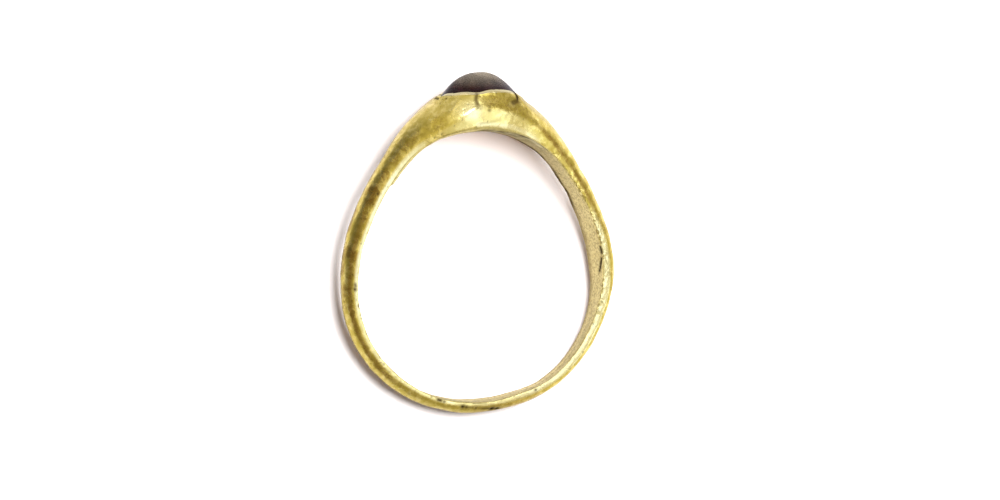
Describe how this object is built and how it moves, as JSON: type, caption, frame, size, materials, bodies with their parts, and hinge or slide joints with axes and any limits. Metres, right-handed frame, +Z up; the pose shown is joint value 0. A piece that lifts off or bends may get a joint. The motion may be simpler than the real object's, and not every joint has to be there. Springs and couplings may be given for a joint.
{
  "type": "stirrup ring",
  "caption": "Hammered gold stirrup ring whose hoop swells into an oval bezel with a rubbed-over rim, holding a pointed dark red cabochon.",
  "frame": {"origin": "middle of the bounding box, on the floor that the ring lies on", "axes": "+Y from the foot of the hoop towards the stone, +X across the finger opening, +Z up, nearly along the finger"},
  "size_m": [0.0226, 0.0264, 0.0063],
  "materials": {
    "gold": "worn hammered gold, satin with bright rubbed edges, micro-pitted and matte inside",
    "garnet": "deep red garnet, near black at the rim, glossy with fine scratches"
  },
  "bodies": {
    "root": {"hoop": "gold", "cabochon": "garnet"}
  },
  "joints": []
}
